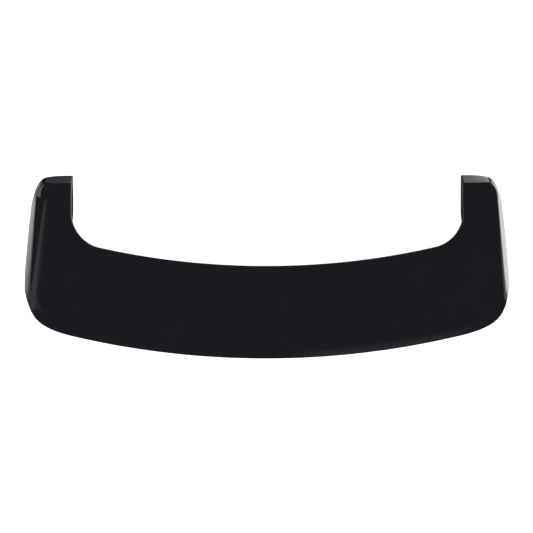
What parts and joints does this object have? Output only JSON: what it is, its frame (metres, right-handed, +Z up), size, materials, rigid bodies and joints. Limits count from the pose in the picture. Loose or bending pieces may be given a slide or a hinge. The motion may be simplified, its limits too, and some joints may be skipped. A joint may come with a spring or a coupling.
{
  "type": "rear spoiler",
  "caption": "Gloss black rear spoiler: a wide blade carried by two forward arms, with flared side walls, slanted noses and flat feet with threaded inserts and foam tape.",
  "frame": {"origin": "centre of the four fixing holes, on the plane of the pads that the spoiler stands on", "axes": "+X to the right across the car, +Y forward along the arms, +Z up from the feet to the blade"},
  "size_m": [1.1086, 0.4095, 0.0997],
  "materials": {
    "gloss_body": "piano black, high gloss clear coat",
    "brass": "turned and knurled brass",
    "foam": "closed-cell foam, matte",
    "tape": "acrylic foam tape, satin"
  },
  "bodies": {
    "root": {"spoiler_body": "gloss_body", "insert_front_left": "brass", "insert_rear_left": "brass", "insert_front_right": "brass", "insert_rear_right": "brass", "washer_front_left": "foam", "washer_rear_left": "foam", "washer_front_right": "foam", "washer_rear_right": "foam", "tape_outer_left": "tape", "tape_inner_left": "tape", "tape_outer_right": "tape", "tape_inner_right": "tape"}
  },
  "joints": []
}
